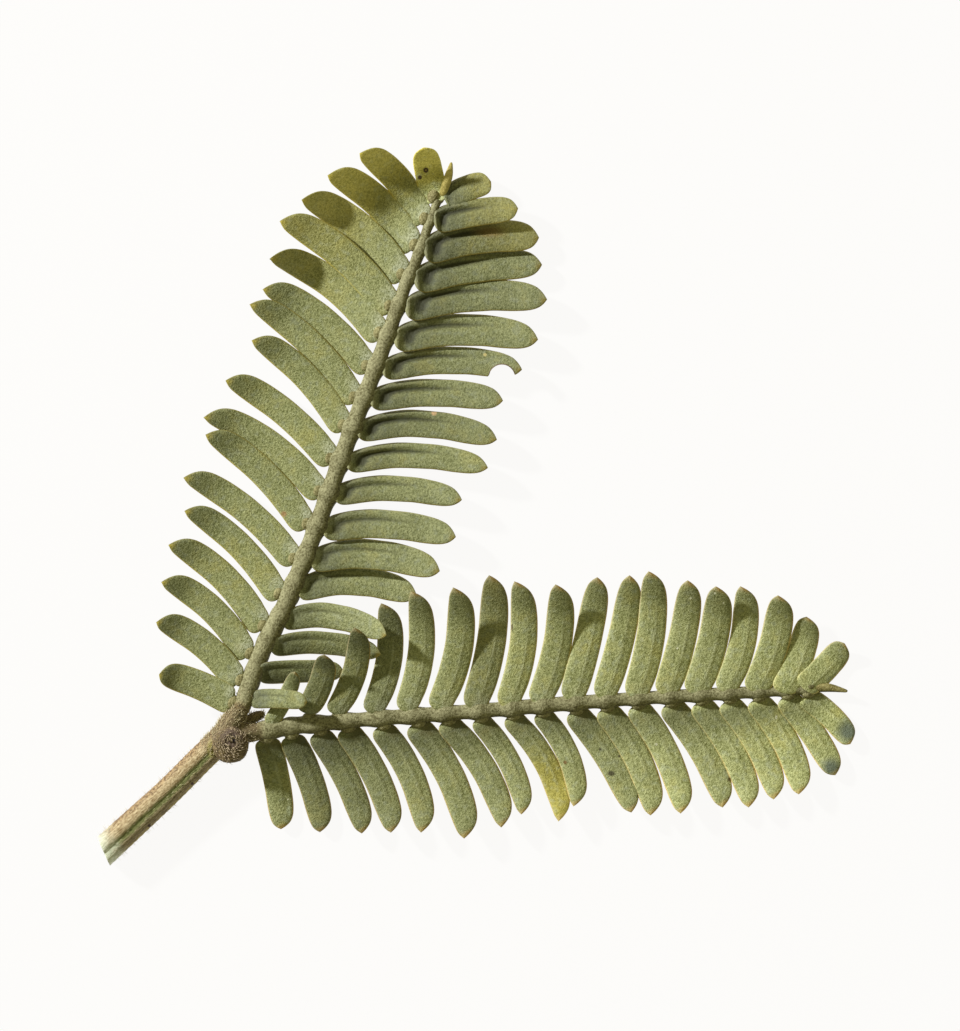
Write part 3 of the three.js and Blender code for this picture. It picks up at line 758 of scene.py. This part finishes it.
# Each row of leaflets with its skin, its rib and the node that it stands for. The leaflets' brightness holds
# painted light and shade besides their own tone, and their yellow also gives a painted glow at the tips.
# Each skin loses brightness to painted shade at the leaflets' feet on the upper pinna's right row and the
# right pinna's lower row, and at their tips on the other two.
ROWS = [
    (
        Row(
            "upper_left_leaflets", UPPER_LEFT, UPPER_LEFT_HEIGHTS, flat_relief, to_tip=-1, roll=4,
            heel=BROAD_HEEL, bow=LATE_BOW, curl=0.3, reach=0.36, row_tones_and_painted_light=(-0.3, 0.3), leaflet_tones_and_painted_light={18: 6.0},
            yellows_and_glows={13: 0.3, 14: 0.4, 15: 0.6, 16: 0.9, 17: 1.0, 18: 1.4},
        ),
        leaflet_skin(
            "upper_left_skin", streak=None, heel=(WAX, 0.5), far_rim=shade(140, 134, 74),
            near_rim=shade(176, 160, 62), painted_shade_tip=0.3, skin_spots=[
                SkinSpot(284, 514, 0.22, shade(150, 116, 76)),
                SkinSpot(426, 171, 0.18, DARK_BROWN, softness=0.4, strength=1),
                SkinSpot(426, 171, 0.07, shade(160, 132, 70)),
                SkinSpot(420, 178, 0.14, DARK_BROWN, softness=0.4, strength=1),
            ],
        ),
        UPPER_RIB, "upper_pinna",
    ),
    (
        Row(
            "upper_right_leaflets", UPPER_RIGHT, UPPER_RIGHT_HEIGHTS, eared_relief, to_tip=1, roll=-16,
            heel=ROUND_HEEL, bow=EARLY_BOW, curl=0.25, reach=0.24, row_tones_and_painted_light=(-0.4, -3.8),
            rolls={1: -8, 2: 26, 3: 16, 4: 4},
            calm={1: 0.25, 2: 0.35, 3: 0.35, 4: 0.3, 5: 0.5, 6: 0.6, 7: 0.7, 8: 0.7, 18: 0.4},
            leaflet_tones_and_painted_light={1: -2.2, 2: -2.8, 3: -2.6, 10: -3.3, 16: -4.4, 18: -3.6},
            yellows_and_glows={16: 0.45, 17: 0.5, 18: 0.5}, bitten=BITTEN_LEAFLET,
        ),
        leaflet_skin(
            "upper_right_skin", streak=(-0.45, 0.34, 0.2), heel=(WAX, 0.25), far_rim=shade(150, 150, 110),
            near_rim=shade(140, 124, 62), painted_shade_foot=0.42, skin_spots=[
                SkinSpot(490, 232, 0.6, shade(112, 82, 38), stretch=(2.2, 0.8), softness=0.9, strength=0.65),
                SkinSpot(434, 413, 0.2, shade(196, 160, 120)),
                SkinSpot(485, 355, 0.13, shade(186, 170, 112)),
                SkinSpot(*BITE_PLACE, BITE_RADIUS + BROWN_LIP, shade(96, 70, 48), softness=0.08),
            ],
        ),
        UPPER_RIB, "upper_pinna",
    ),
    (
        Row(
            "right_upper_leaflets", RIGHT_UPPER, RIGHT_UPPER_HEIGHTS, ridged_relief, to_tip=-1, roll=-8,
            heel=ROUND_HEEL, bow=LATE_BOW, curl=0.35, reach=0.42, row_tones_and_painted_light=(-0.8, 4.2), lift=0.32, drop=0.3,
            leaflet_tones_and_painted_light={2: -3.6, 3: -2.8, 4: -2.8, 7: -2.4}, yellows_and_glows={7: 0.12},
        ),
        leaflet_skin(
            "right_upper_skin", streak=(0.5, 0.22, 0.12), heel=(WAX, 0.3), far_rim=shade(150, 114, 62),
            near_rim=shade(172, 160, 124), painted_shade_tip=0.34, skin_spots=[
                *(SkinSpot(*speck, MEALY_WHITE) for speck in MEALY_SPECKS),
                SkinSpot(512, 627, 0.12, DARK_BROWN, stretch=(0.6, 2)),
            ],
        ),
        RIGHT_RIB, "right_pinna",
    ),
    (
        Row(
            "right_lower_leaflets", RIGHT_LOWER, RIGHT_LOWER_HEIGHTS, soft_relief, to_tip=1, roll=-8,
            heel=BROAD_HEEL, bow=LATE_BOW, curl=0.2, reach=0.3, row_tones_and_painted_light=(-3.6, 6.0), lift=-0.12, drop=0.25,
            leaflet_tones_and_painted_light={1: -0.2, 2: -3.2, 3: -2.8, 11: 0.6, 13: 4.6, 14: 2.2}, yellows_and_glows={9: 1.0},
        ),
        leaflet_skin(
            # Brown heels with painted shade from the rib
            "right_lower_skin", streak=(0.3, 0.15, 0.18), heel=(BROWN_HEEL_AND_SHADE, 0.8), far_rim=shade(158, 122, 72),
            near_rim=shade(172, 150, 100), painted_shade_foot=0.45, skin_spots=[
                # Painted light on the lit part near the tip of the first lower leaflet
                SkinSpot(289, 810, 0.3, shade(160, 166, 132), stretch=(0.6, 1.4)),
                SkinSpot(288, 799, 0.06, MEALY_WHITE),
                SkinSpot(565, 762, 0.14, shade(112, 78, 36)),
                SkinSpot(611, 773, 0.22, shade(52, 44, 26), stretch=(1.3, 0.9)),
                SkinSpot(619, 756, 0.1, DARK_OLIVE),
                SkinSpot(600, 749, 0.1, DARK_OLIVE),
                SkinSpot(656, 744, 0.1, MEALY_WHITE),
                SkinSpot(729, 779, 0.16, shade(86, 72, 38)),
                SkinSpot(776, 717, 0.12, MEALY_WHITE, stretch=(0.7, 1.3)),
                # Painted shade on the tips of the last two lower leaflets, which curl away from the light
                SkinSpot(831, 767, 0.8, PAINTED_BLUISH_SHADE, softness=0.8),
                SkinSpot(848, 731, 0.95, PAINTED_BLUISH_SHADE, softness=0.8),
            ],
        ),
        RIGHT_RIB, "right_pinna",
    ),
]
for row, skin, route, node in ROWS:
    row.build(Route(route), node, skin)


# A rib's radius between its leaf joints and what each joint adds, as shares, and its reach in millimetres
RIB_SLIMNESS = 0.86
JOINT_SWELLING = 0.18
JOINT_REACH = 0.4


def rib_bark():
    """Mealy grey-green skin of the ribs, yellower where a leaflet leaves them and woolly at the foot, with
    painted shade along the right flank and a painted glow on the upper bristle.
    """
    paint = Paint("rib_bark", Roughness=0.8, Specular_IOR_Level=0.3, Emission_Strength=0.5)
    along = paint.mark("along")
    yellow = paint.mark("yellow")
    grain = paint.noise(size_mm=0.12, detail=3.0, roughness=0.7)
    patch = paint.noise(size_mm=0.7)
    meal = paint.step(grain * 0.75 + patch * 0.25, 0.32, 0.66)
    skin = paint.blend(yellow * 0.8, paint.blend(meal, *RIB_SKIN), paint.blend(meal, *FRESH_SKIN))
    # Painted shade along the right flank
    skin = paint.blend(paint.step(paint.mark("across"), 0.45, 0.95) * 0.45, skin, SHADED_FLANK)
    wool = 1 - paint.step(along + (patch - 0.5) * 0.02, 0.004, 0.03)
    skin = paint.blend(wool, skin, paint.blend(meal, *WOOLLY_SKIN))
    # Painted glow on the yellowest bristle
    painted_glow = paint.blend(paint.step(yellow, 1, 2), NO_GLOW, PAINTED_BRISTLE_GLOW)
    return paint.finish(Base_Color=skin, Emission_Color=painted_glow, Normal=paint.bump(grain, depth_mm=0.08))


def rib(name, node, points, bristle_points, bristle_yellow, rows, material):
    """Slim rib that swells a little where each leaflet leaves it, its bristle tip and its leaf joints.

    Each row is its leaflets, how yellow its joints are and, in millimetres, how far they stand out
    past the rib's flank and up from its middle, and half their sizes.
    """
    route = Route(points)
    joints = np.array([
        route.nearest(place(*values[:2]))[0] for leaflets, *rest in rows for values in leaflets
    ])

    def swell(share, angle):
        away = (share[:, None] - joints[None, :]) * route.length / MM
        return RIB_SLIMNESS + JOINT_SWELLING * hump(away, 0, JOINT_REACH).sum(axis=1)

    bm = bmesh.new()
    tube(bm, route, rings=260, sides=24, swell=swell)
    tube(bm, Route(bristle_points), rings=24, sides=12, span=(0.8, 1.0), yellow=bristle_yellow)
    for leaflets, yellow, outward, upward, half_sizes in rows:
        for values in leaflets:
            root = place(*values[:2])
            share, middle = route.nearest(root)
            forward = route.frame_at(np.array([share]))[0][0]
            from_rib = Vector((root.x - middle.x, root.y - middle.y, 0)).normalized()
            flank = route.at(share)[0][3] + outward * MM
            bead(bm, middle + from_rib * flank + Vector((0, 0, upward * MM)), forward, half_sizes, yellow)
    finished(name, bm, material, (node,))


bark = rib_bark()
# The upper bristle's yellow of 1.8 also gives it a painted glow
rib("upper_rib", "upper_pinna", UPPER_RIB, UPPER_BRISTLE, 1.8, [
    (UPPER_LEFT, 0.4, 0.08, 0.04, (0.42, 0.34, 0.28)),
    (UPPER_RIGHT, 0.3, -0.05, -0.1, (0.3, 0.2, 0.2)),
], bark)
rib("right_rib", "right_pinna", RIGHT_RIB, RIGHT_BRISTLE, 0.8, [
    (RIGHT_UPPER, 0.2, -0.1, 0.1, (0.42, 0.3, 0.3)),
    (RIGHT_LOWER, 0.2, -0.06, 0.0, (0.42, 0.3, 0.3)),
], bark)


# Small marks on the stalk: dark warts and, by the gland, a yellowish scar
WART_PLACES = [(150, 825), (193, 783)]
WART_RADIUS = 0.12
SCAR_PLACE = (212, 748)
SCAR_RADIUS = 0.5


def stalk_bark():
    """Stalk skin: a pale mealy face, a reddish margin, a dark green groove and a brown ridge.

    It runs from a bleached cut end to a golden woolly joint, and the arm ends like its rib.
    """
    paint = Paint("stalk_bark", Roughness=0.82, Specular_IOR_Level=0.3)
    along = paint.mark("along")
    across = paint.mark("across")
    grain = paint.noise(size_mm=0.13, detail=3.0, roughness=0.7)
    patch = paint.noise(size_mm=0.8)
    lines = paint.node("ShaderNodeCombineXYZ", {}, {0: along * 9, 1: across * 5})
    fibre = paint.node("ShaderNodeTexNoise", {}, {"Vector": lines, "Scale": 3.0, "Detail": 2.0})
    meal = paint.step(grain * 0.4 + patch * 0.1 + fibre * 0.5, 0.34, 0.66)
    sway = across + (patch - 0.5) * 0.25 + (grain - 0.5) * 0.2

    rust = (1 - paint.step(sway, -0.95, -0.35)) * paint.step(patch + along * 0.35, 0.32, 0.62)
    russet = paint.blend(paint.step(grain, 0.4, 0.62), *RUSSET_MARGIN)
    skin = paint.blend(rust * 0.9, paint.blend(meal, *STALK_FACE), russet)
    skin = paint.blend(paint.step(sway, -0.1, 0.15), skin, paint.blend(meal, *GREEN_GROOVE))
    skin = paint.blend(paint.step(sway, 0.34, 0.55), skin, paint.blend(meal, *BROWN_RIDGE))
    skin = paint.blend(paint.step(sway, 0.8, 0.95) * 0.6, skin, paint.blend(meal, *GILT_EDGE))

    woolly = paint.step(along + (patch - 0.5) * 0.1, 0.72, 0.84) * 0.85
    skin = paint.blend(woolly, skin, paint.blend(meal, *GOLDEN_WOOL))
    skin = paint.blend(paint.spot_mask(*SCAR_PLACE, SCAR_RADIUS, 0.6, (0.6, 1.3)) * 0.7, skin, YELLOW_SCAR)
    rib_end = paint.step(along, 0.94, 1.0) * paint.mark("yellow")
    skin = paint.blend(rib_end, skin, paint.blend(meal, *RIB_SKIN))
    cut_end = 1 - paint.step(along + (patch - 0.5) * 0.12, 0.02, 0.16)
    skin = paint.blend(cut_end, skin, paint.blend(meal, *BLEACHED_END))
    # Brightness by piece: the leaf axis's point is lightened with painted light
    skin = paint.blend(1.0, skin, 1 + paint.mark("tint") * 0.6, "MULTIPLY")
    for wart in WART_PLACES:
        skin = paint.blend(paint.spot_mask(*wart, WART_RADIUS), skin, DARK_BROWN)
    return paint.finish(Base_Color=skin, Normal=paint.bump(grain * 0.6 + fibre * 0.4, depth_mm=0.1))


# The stalk's groove and ridges and its slight unevenness, as shares of its radius, and how fast
# that rippling runs along the stalk and round it
GROOVE_DEPTH = 0.13
LEFT_RIDGE = 0.04
RIGHT_RIDGE = 0.05
UNEVENNESS = 0.012
RIPPLES = (173, 3)


def stalk():
    """Stalk with a lengthwise groove, cut off aslant, with its swollen joint and the leaf axis's point."""
    def grooved(share, angle):
        across = np.cos(angle)
        top = (1 - smooth(0.72, 0.84, share)) * (np.sin(angle) > 0)
        ridges = LEFT_RIDGE * hump(across, -0.5, 0.3) + RIGHT_RIDGE * hump(across, 0.62, 0.15)
        groove = GROOVE_DEPTH * hump(across, 0.2, 0.2)
        ripple = UNEVENNESS * np.sin(share * RIPPLES[0] + angle * RIPPLES[1])
        return 1 + (ridges - groove) * top + ripple

    bm = bmesh.new()
    tube(bm, Route(STALK_ROUTE), rings=110, sides=48, swell=grooved)
    kept = Vector((math.cos(CUT_SLANT), math.sin(CUT_SLANT), 0))
    everything = [*bm.verts, *bm.edges, *bm.faces]
    bmesh.ops.bisect_plane(
        bm, geom=everything, plane_co=place(*CUT_PLACE), plane_no=kept, clear_inner=True,
    )
    bmesh.ops.edgeloop_fill(bm, edges=[edge for edge in bm.edges if edge.is_boundary])
    tube(bm, Route(RIGHT_ARM), rings=24, sides=24, span=(0.8, 1.0), yellow=1.0)
    # The leaf axis's point is lightened with painted light
    tube(bm, Route(AXIS_POINT), rings=14, sides=14, span=(0.9, 1.0), tint=0.5)
    finished("stalk", bm, stalk_bark(), ("stem",))


stalk()


def gland_skin():
    """Dark purple-brown rough skin of the gland."""
    paint = Paint("gland_skin", Roughness=0.7, Specular_IOR_Level=0.4)
    grain = paint.noise(size_mm=0.16, detail=3.0, roughness=0.65)
    skin = paint.blend(paint.step(grain, 0.35, 0.7), *GLAND_FLANK)
    crown = paint.spot_mask(*GLAND_PIT, GLAND_RADIUS * 0.95)
    skin = paint.blend(crown, skin, paint.blend(grain, *GLAND_CROWN))
    skin = paint.blend(paint.spot_mask(*GLAND_PIT, 0.3, 0.7) * 0.9, skin, PIT_PURPLE)
    return paint.finish(Base_Color=skin, Normal=paint.bump(grain, depth_mm=0.12))


def gland_stretch(turn):
    """How much longer the gland is than round, at an angle seen from above."""
    return 1 + GLAND_STRETCH * (1 - np.cos(turn - GLAND_LEAN)) / 2


def gland():
    """Low knob, drawn out to one side, with a pit in its top."""
    middle = np.array(place(*GLAND_PLACE))
    pit = np.array(place(*GLAND_PIT)) - middle

    def shape(ring, angle):
        height, width = np.array(GLAND_PROFILE)[ring].T
        wrinkled = (1 + WRINKLE_DEPTH * np.sin(angle * WRINKLES)) * gland_stretch(angle)
        radius = width * GLAND_RADIUS * MM * wrinkled
        spots = np.stack((
            np.cos(angle) * radius, np.sin(angle) * radius, height * GLAND_RADIUS * GLAND_FLATNESS * MM,
        ), axis=1)
        to_pit = (1 - smooth(0.2, 0.9, width)) * (height > 0)
        return spots + middle + np.outer(to_pit, (pit[0], pit[1], 0))

    bm = bmesh.new()
    turned(bm, len(GLAND_PROFILE) - 1, GLAND_SIDES, shape)
    piece = finished("gland_knob", bm, gland_skin(), ("gland",))
    smoother = piece.modifiers.new("smoother", "SUBSURF")
    smoother.levels = 2
    smoother.render_levels = 2


gland()

# The coats of hair on the stem: piece, finish, colour, and for each stretch its route, its share of
# the length, the angles round it in degrees, how many hairs, their lengths and thickness in
# millimetres, and how far they lean forward
STEM_COATS = [
    ("stalk_hairs", "pale_hair", PALE_HAIR, [
        (STALK_ROUTE, (0.06, 0.8), (150, 185), 60, (0.2, 0.42), 0.012, 0.3),
        (STALK_ROUTE, (0.06, 0.8), (-5, 30), 45, (0.2, 0.42), 0.012, 0.3),
        (STALK_ROUTE, (0.06, 0.8), (35, 145), 150, (0.14, 0.3), 0.012, 1.8),
    ]),
    ("joint_hairs", "golden_hair", GOLDEN_HAIR, [
        (STALK_ROUTE, (0.74, 1.0), (10, 190), 420, (0.14, 0.32), 0.027, 1.4),
        (RIGHT_ARM, (0.1, 0.8), (10, 170), 80, (0.14, 0.28), 0.025, 1.4),
        (UPPER_RIB, (0.0, 0.04), (10, 190), 50, (0.14, 0.28), 0.02, 1.4),
        (AXIS_POINT, (0.3, 1.0), (0, 180), 70, (0.14, 0.28), 0.024, 1.0),
    ]),
]
GLAND_HAIRS = 260
GLAND_HAIR_LENGTHS = (0.16, 0.34)
GLAND_HAIR_THICKNESS = 0.026

# How far out the hairs are rooted, as a share of the radius, and where a hair's middle lies on it
STEM_ROOTING = 0.96
GLAND_ROOTING = 0.97
HAIR_MIDDLE = 0.45

# How far each part of a hair's direction strays
STEM_STRAY = 0.35
GLAND_STRAY = 0.6


def hair(bm, root, lean, length, thickness):
    """Three-sided hair that stands on a root and leans along a direction."""
    lean = Vector(lean).normalized()
    turn = lean.to_track_quat("Z", "Y").to_matrix().to_4x4()
    bmesh.ops.create_cone(
        bm, cap_ends=True, segments=3, radius1=thickness * MM, radius2=0, depth=length * MM,
        matrix=Matrix.Translation(Vector(root) + lean * length * MM * HAIR_MIDDLE) @ turn,
    )


def astray(chance, most):
    return Vector([chance.uniform(-most, most) for _ in range(3)])


def stem_hairs(bm, chance, points, span, angles, count, lengths, thickness, forward_lean):
    """Hairs on one stretch of a stem."""
    route = Route(points)
    for _ in range(count):
        share = np.array([chance.uniform(*span)])
        angle = math.radians(chance.uniform(*angles))
        row = route.at(share)[0]
        forward, side, up = (Vector(direction[0]) for direction in route.frame_at(share))
        outward = side * math.cos(angle) + up * math.sin(angle)
        lean = outward + forward * forward_lean + astray(chance, STEM_STRAY)
        root = Vector(row[:3]) + outward * row[3] * STEM_ROOTING
        hair(bm, root, lean, chance.uniform(*lengths), thickness)


def gland_hairs(bm, chance):
    """A short coat on the gland that lies in a whorl round its pit."""
    middle = place(*GLAND_PLACE)
    pit = place(*GLAND_PIT)
    for _ in range(GLAND_HAIRS):
        turn = chance.uniform(0, 2 * math.pi)
        far = chance.uniform(0.2, 0.98)
        lift = math.sqrt(1 - far ** 2) * GLAND_FLATNESS
        outward = Vector((math.cos(turn) * far, math.sin(turn) * far, lift))
        stretch = gland_stretch(turn)
        root = middle + outward * Vector((stretch, stretch, 1)) * GLAND_RADIUS * GLAND_ROOTING * MM
        round_pit = Vector((pit.y - root.y, root.x - pit.x, 0)).normalized()
        lean = round_pit + outward * 0.5 + astray(chance, GLAND_STRAY)
        hair(bm, root, lean, chance.uniform(*GLAND_HAIR_LENGTHS), GLAND_HAIR_THICKNESS)


def hair_skin(name, colour):
    return Paint(name, Base_Color=colour, Roughness=0.6).material


def hairs():
    """Fine pale hairs along the stalk, denser golden ones on the joint, and the gland's coat."""
    chance = random.Random(RANDOM_SEED)
    for name, finish, colour, stretches in STEM_COATS:
        bm = bmesh.new()
        for stretch in stretches:
            stem_hairs(bm, chance, *stretch)
        finished(name, bm, hair_skin(finish, colour))
    bm = bmesh.new()
    gland_hairs(bm, chance)
    finished("gland_hairs", bm, hair_skin("gland_hair", GLAND_HAIR))


hairs()

FLOOR_HALF_SIZE = 0.6
FLOOR_GREY = (0.035, 0.035, 0.035, 1)
FLOOR_LIGHT = (1, 0.99, 0.975, 1)
FLOOR_BRIGHTNESS = 0.945
ROOM_LIGHT = (1, 0.98, 0.55, 1)
ROOM_BRIGHTNESS = 0.33
CAMERA_HEIGHT = 0.6


def floor():
    """Plain pale floor, bright enough that the leaf's shadows on it stay faint."""
    paint = Paint(
        "floor_white", Base_Color=FLOOR_GREY, Roughness=0.9, Specular_IOR_Level=0.0,
        Emission_Color=FLOOR_LIGHT, Emission_Strength=FLOOR_BRIGHTNESS,
    )
    bm = bmesh.new()
    bmesh.ops.create_grid(bm, x_segments=1, y_segments=1, size=FLOOR_HALF_SIZE)
    mesh = bpy.data.meshes.new("floor")
    bm.to_mesh(mesh)
    bm.free()
    mesh.materials.append(paint.material)
    added("floor", mesh)


def lamp(name, azimuth, elevation, distance, size, power, colour):
    """Area lamp aimed at the leaf from an azimuth, anticlockwise from +X, and an elevation, in degrees."""
    data = bpy.data.lights.new(name, "AREA")
    data.shape = "DISK"
    data.size = size
    data.energy = power
    data.color = colour
    made = added(name, data)
    a = math.radians(azimuth)
    e = math.radians(elevation)
    made.location = Vector((math.cos(a) * math.cos(e), math.sin(a) * math.cos(e), math.sin(e))) * distance
    made.rotation_euler = made.location.to_track_quat("Z", "Y").to_euler()


def camera():
    """Camera straight above, framed as the photograph is."""
    field = PHOTO_SIZE[0] / PIXELS_PER_MM * MM
    data = bpy.data.cameras.new("camera")
    data.sensor_fit = "HORIZONTAL"
    data.lens = data.sensor_width * CAMERA_HEIGHT / field
    made = added("camera", data)
    middle = place(PHOTO_SIZE[0] / 2, PHOTO_SIZE[1] / 2)
    made.location = (middle.x, middle.y, CAMERA_HEIGHT)
    bpy.context.scene.camera = made


def studio():
    """Low light from the upper left, as in the photograph, and a soft room light all round."""
    scene = bpy.context.scene
    scene.view_settings.view_transform = "Standard"
    world = bpy.data.worlds.new("room")
    world.use_nodes = True
    room = world.node_tree.nodes["Background"]
    room.inputs["Color"].default_value = ROOM_LIGHT
    room.inputs["Strength"].default_value = ROOM_BRIGHTNESS
    scene.world = world
    lamp("key_lamp", azimuth=148, elevation=27, distance=0.5, size=0.04, power=4.2, colour=(0.97, 0.99, 1))


floor()
camera()
studio()
